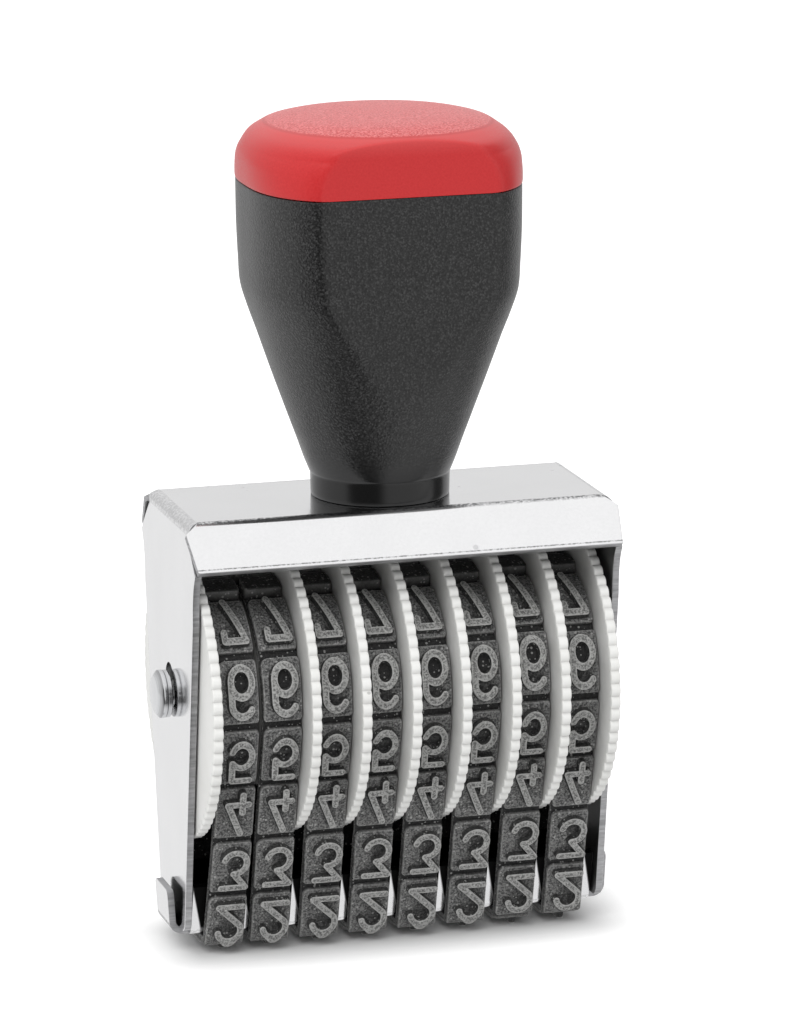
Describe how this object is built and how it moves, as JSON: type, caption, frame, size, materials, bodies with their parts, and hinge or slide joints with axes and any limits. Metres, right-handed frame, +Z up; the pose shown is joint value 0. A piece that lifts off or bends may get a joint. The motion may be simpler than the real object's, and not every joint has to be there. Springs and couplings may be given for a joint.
{
  "type": "numbering band stamp",
  "caption": "Hand numbering stamp: a bent steel frame holds rubber digit bands on toothed thumb wheels over a bridge, under a black handle with a red cap.",
  "frame": {"origin": "middle of the object's base, level with the print faces of the digits that point down", "axes": "+X along the axle to the stamp's right, +Y to the back, +Z up through the handle; the front of the stamp faces -Y"},
  "size_m": [0.0706, 0.0434, 0.1245],
  "materials": {
    "plated_sheet": "polished, plated",
    "plated_strip": "plated, slightly dull",
    "turned_pin": "turned and plated",
    "white_nylon": "smooth moulded nylon",
    "grey_rubber": "dusty moulded rubber",
    "black_plastic": "fine spark-eroded grain",
    "red_plastic": "satin moulded",
    "screw_steel": "zinc plated",
    "washer_steel": "zinc plated"
  },
  "bodies": {
    "stamp": {"frame": "plated_sheet", "bridge": "plated_strip", "axle": "turned_pin", "number_band_1": "grey_rubber", "number_band_2": "grey_rubber", "number_band_3": "grey_rubber", "number_band_4": "grey_rubber", "number_band_5": "grey_rubber", "number_band_6": "grey_rubber", "number_band_7": "grey_rubber", "number_band_8": "grey_rubber", "handle_body": "black_plastic", "handle_cap": "red_plastic", "handle_screw": "screw_steel", "handle_washer": "washer_steel"},
    "wheel_1": {"thumb_wheel_1": "white_nylon"},
    "wheel_2": {"thumb_wheel_2": "white_nylon"},
    "wheel_3": {"thumb_wheel_3": "white_nylon"},
    "wheel_4": {"thumb_wheel_4": "white_nylon"},
    "wheel_5": {"thumb_wheel_5": "white_nylon"},
    "wheel_6": {"thumb_wheel_6": "white_nylon"},
    "wheel_7": {"thumb_wheel_7": "white_nylon"},
    "wheel_8": {"thumb_wheel_8": "white_nylon"}
  },
  "joints": [
    {"name": "wheel_1_turn", "type": "hinge", "parent": "stamp", "child": "wheel_1", "pos_m": [-0.03045, 0, 0.039], "axis": [1, 0, 0], "continuous": true},
    {"name": "wheel_2_turn", "type": "hinge", "parent": "stamp", "child": "wheel_2", "pos_m": [-0.01568, 0, 0.039], "axis": [1, 0, 0], "continuous": true},
    {"name": "wheel_3_turn", "type": "hinge", "parent": "stamp", "child": "wheel_3", "pos_m": [-0.00808, 0, 0.039], "axis": [1, 0, 0], "continuous": true},
    {"name": "wheel_4_turn", "type": "hinge", "parent": "stamp", "child": "wheel_4", "pos_m": [-0.00047, 0, 0.039], "axis": [1, 0, 0], "continuous": true},
    {"name": "wheel_5_turn", "type": "hinge", "parent": "stamp", "child": "wheel_5", "pos_m": [0.00713, 0, 0.039], "axis": [1, 0, 0], "continuous": true},
    {"name": "wheel_6_turn", "type": "hinge", "parent": "stamp", "child": "wheel_6", "pos_m": [0.01473, 0, 0.039], "axis": [1, 0, 0], "continuous": true},
    {"name": "wheel_7_turn", "type": "hinge", "parent": "stamp", "child": "wheel_7", "pos_m": [0.02233, 0, 0.039], "axis": [1, 0, 0], "continuous": true},
    {"name": "wheel_8_turn", "type": "hinge", "parent": "stamp", "child": "wheel_8", "pos_m": [0.02993, 0, 0.039], "axis": [1, 0, 0], "continuous": true}
  ]
}
